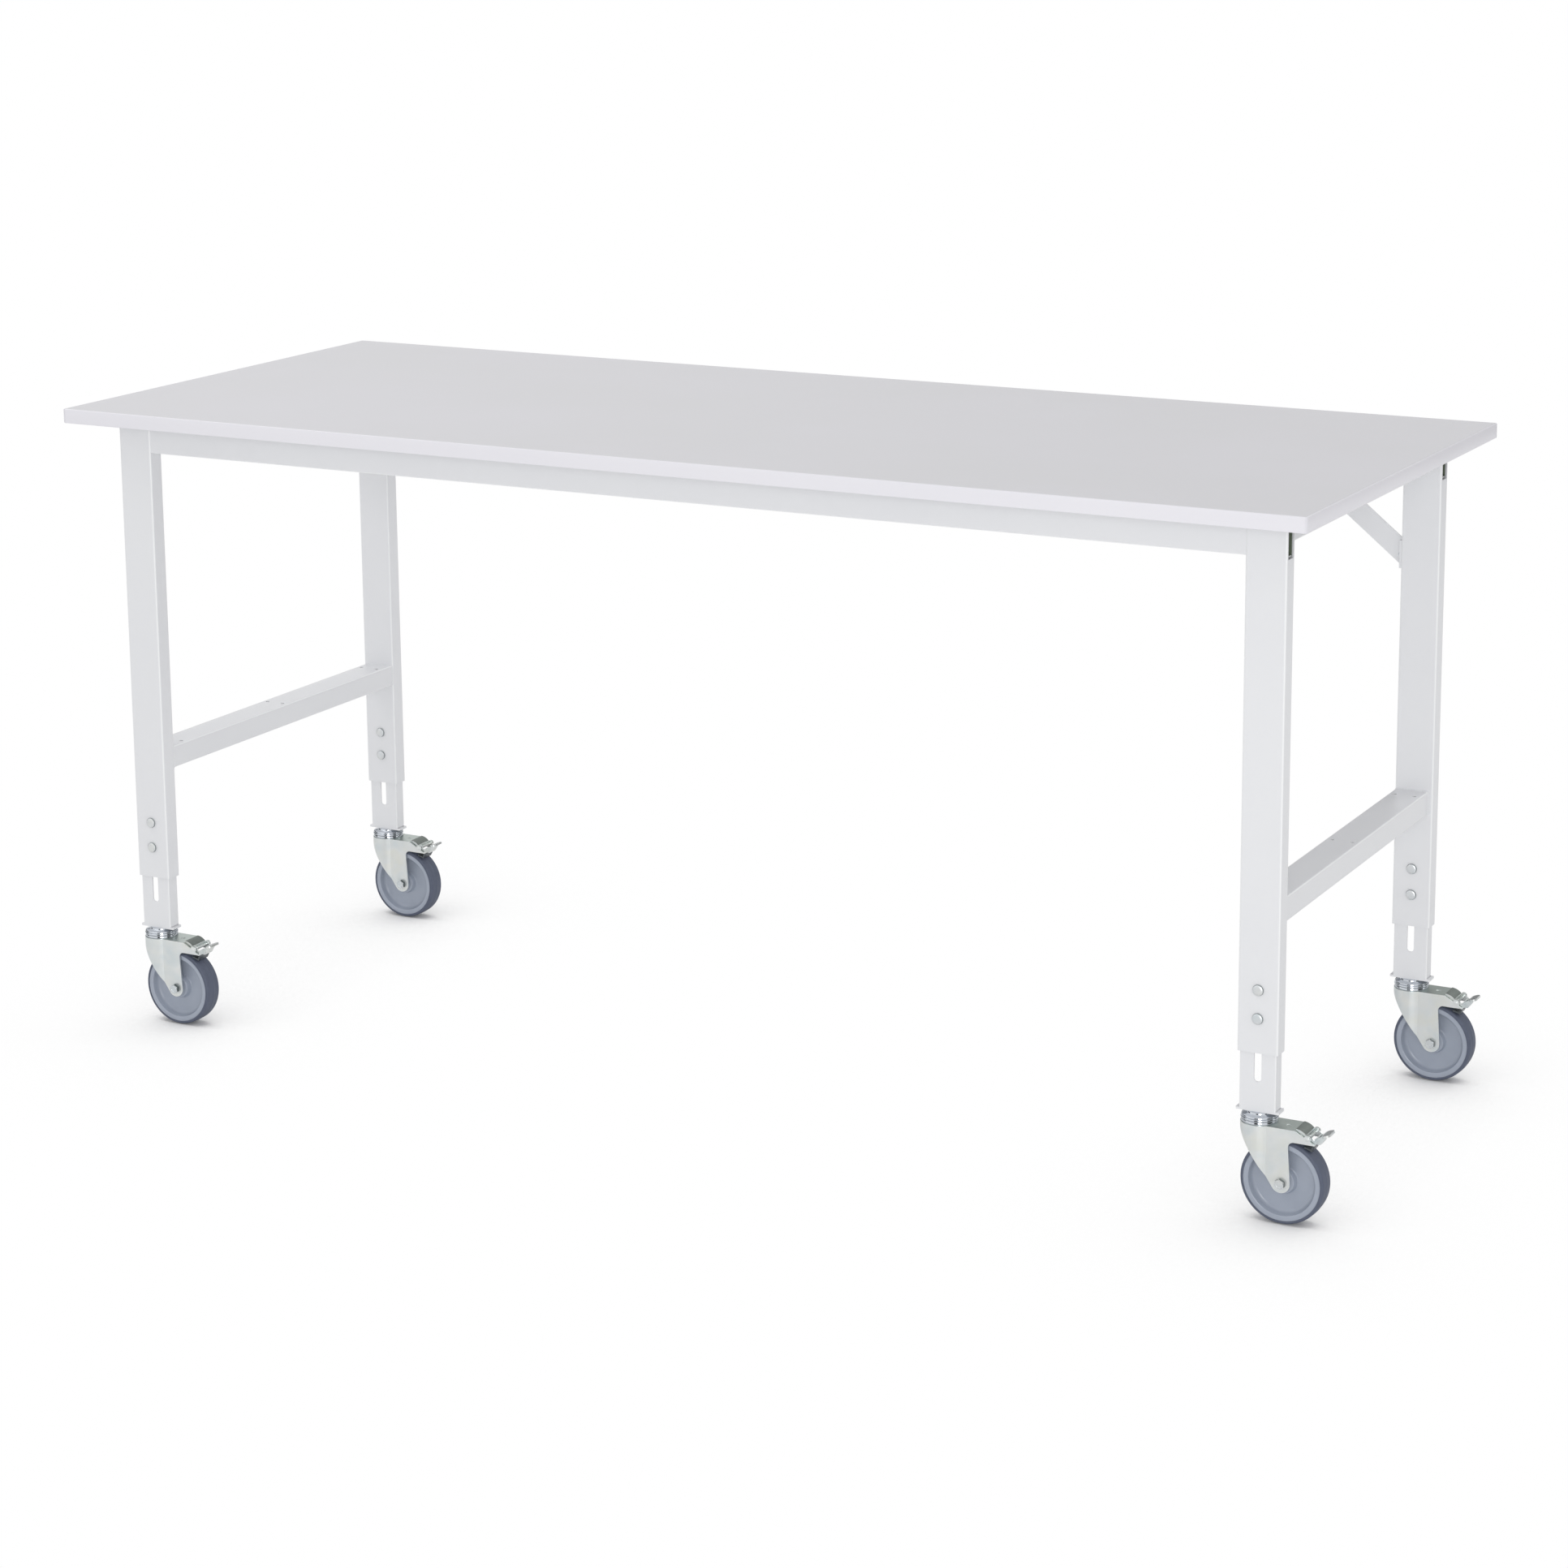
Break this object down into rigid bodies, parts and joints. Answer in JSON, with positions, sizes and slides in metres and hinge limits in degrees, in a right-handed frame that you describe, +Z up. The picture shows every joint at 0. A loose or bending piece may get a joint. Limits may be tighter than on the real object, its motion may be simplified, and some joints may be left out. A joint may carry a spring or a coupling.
{
  "type": "mobile height-adjustable work table",
  "caption": "Mobile work table with a rectangular laminate top on a steel frame, telescopic legs clamped by bolts, rear corner braces and braked swivel castors.",
  "frame": {"origin": "on the floor under the middle of the worktop", "axes": "+X along the length of the worktop to the right as a user at the front sees it, -Y towards the user, +Z up"},
  "size_m": [2.0236, 0.8, 0.985],
  "materials": {
    "laminate": "light grey laminate on chipboard, satin",
    "edge_band": "satin",
    "powder_coat": "light grey powder coat, satin",
    "zinc": "blue zinc plate, satin",
    "bright_steel": "bright zinc plate, polished",
    "rim_plastic": "matte grey polypropylene",
    "tyre_rubber": "matte grey thermoplastic rubber",
    "guide_plastic": "matte"
  },
  "bodies": {
    "bench": {"worktop": "laminate", "edge_band": "edge_band", "front_rail": "powder_coat", "rear_rail": "powder_coat", "top_cross_left": "powder_coat", "top_cross_right": "powder_coat", "crossbar_left": "powder_coat", "crossbar_right": "powder_coat", "brace_left": "powder_coat", "brace_right": "powder_coat", "frame_screws": "zinc", "outer_leg_fl": "powder_coat", "clamp_bolts_fl": "bright_steel", "outer_leg_fr": "powder_coat", "clamp_bolts_fr": "bright_steel", "outer_leg_rl": "powder_coat", "clamp_bolts_rl": "bright_steel", "outer_leg_rr": "powder_coat", "clamp_bolts_rr": "bright_steel"},
    "leg_fl": {"inner_leg_fl": "powder_coat", "guide_fl": "guide_plastic", "castor_head_fl": "bright_steel"},
    "swivel_fl": {"fork_fl": "zinc", "race_fl": "bright_steel", "axle_fl": "zinc", "brake_pin_fl": "zinc"},
    "rolling_fl": {"wheel_fl": "rim_plastic", "tyre_fl": "tyre_rubber"},
    "brake_fl": {"pedal_fl": "zinc"},
    "leg_fr": {"inner_leg_fr": "powder_coat", "guide_fr": "guide_plastic", "castor_head_fr": "bright_steel"},
    "swivel_fr": {"fork_fr": "zinc", "race_fr": "bright_steel", "axle_fr": "zinc", "brake_pin_fr": "zinc"},
    "rolling_fr": {"wheel_fr": "rim_plastic", "tyre_fr": "tyre_rubber"},
    "brake_fr": {"pedal_fr": "zinc"},
    "leg_rl": {"inner_leg_rl": "powder_coat", "guide_rl": "guide_plastic", "castor_head_rl": "bright_steel"},
    "swivel_rl": {"fork_rl": "zinc", "race_rl": "bright_steel", "axle_rl": "zinc", "brake_pin_rl": "zinc"},
    "rolling_rl": {"wheel_rl": "rim_plastic", "tyre_rl": "tyre_rubber"},
    "brake_rl": {"pedal_rl": "zinc"},
    "leg_rr": {"inner_leg_rr": "powder_coat", "guide_rr": "guide_plastic", "castor_head_rr": "bright_steel"},
    "swivel_rr": {"fork_rr": "zinc", "race_rr": "bright_steel", "axle_rr": "zinc", "brake_pin_rr": "zinc"},
    "rolling_rr": {"wheel_rr": "rim_plastic", "tyre_rr": "tyre_rubber"},
    "brake_rr": {"pedal_rr": "zinc"}
  },
  "joints": [
    {"name": "height_fl", "type": "slide", "parent": "bench", "child": "leg_fl", "axis": [0, 0, -1], "range_m": [-0.08, 0.15]},
    {"name": "castor_fl", "type": "hinge", "parent": "leg_fl", "child": "swivel_fl", "pos_m": [-0.92, -0.317, 0.1375], "axis": [0, 0, 1], "continuous": true},
    {"name": "wheel_spin_fl", "type": "hinge", "parent": "swivel_fl", "child": "rolling_fl", "pos_m": [-0.882, -0.317, 0.06], "axis": [0, 1, 0], "continuous": true},
    {"name": "brake_pedal_fl", "type": "hinge", "parent": "swivel_fl", "child": "brake_fl", "pos_m": [-0.845, -0.317, 0.1285], "axis": [0, 1, 0], "range_deg": [0, 14]},
    {"name": "height_fr", "type": "slide", "parent": "bench", "child": "leg_fr", "axis": [0, 0, -1], "range_m": [-0.08, 0.15]},
    {"name": "castor_fr", "type": "hinge", "parent": "leg_fr", "child": "swivel_fr", "pos_m": [0.92, -0.317, 0.1375], "axis": [0, 0, 1], "continuous": true},
    {"name": "wheel_spin_fr", "type": "hinge", "parent": "swivel_fr", "child": "rolling_fr", "pos_m": [0.958, -0.317, 0.06], "axis": [0, 1, 0], "continuous": true},
    {"name": "brake_pedal_fr", "type": "hinge", "parent": "swivel_fr", "child": "brake_fr", "pos_m": [0.995, -0.317, 0.1285], "axis": [0, 1, 0], "range_deg": [0, 14]},
    {"name": "height_rl", "type": "slide", "parent": "bench", "child": "leg_rl", "axis": [0, 0, -1], "range_m": [-0.08, 0.15]},
    {"name": "castor_rl", "type": "hinge", "parent": "leg_rl", "child": "swivel_rl", "pos_m": [-0.92, 0.317, 0.1375], "axis": [0, 0, 1], "continuous": true},
    {"name": "wheel_spin_rl", "type": "hinge", "parent": "swivel_rl", "child": "rolling_rl", "pos_m": [-0.882, 0.317, 0.06], "axis": [0, 1, 0], "continuous": true},
    {"name": "brake_pedal_rl", "type": "hinge", "parent": "swivel_rl", "child": "brake_rl", "pos_m": [-0.845, 0.317, 0.1285], "axis": [0, 1, 0], "range_deg": [0, 14]},
    {"name": "height_rr", "type": "slide", "parent": "bench", "child": "leg_rr", "axis": [0, 0, -1], "range_m": [-0.08, 0.15]},
    {"name": "castor_rr", "type": "hinge", "parent": "leg_rr", "child": "swivel_rr", "pos_m": [0.92, 0.317, 0.1375], "axis": [0, 0, 1], "continuous": true},
    {"name": "wheel_spin_rr", "type": "hinge", "parent": "swivel_rr", "child": "rolling_rr", "pos_m": [0.958, 0.317, 0.06], "axis": [0, 1, 0], "continuous": true},
    {"name": "brake_pedal_rr", "type": "hinge", "parent": "swivel_rr", "child": "brake_rr", "pos_m": [0.995, 0.317, 0.1285], "axis": [0, 1, 0], "range_deg": [0, 14]}
  ]
}
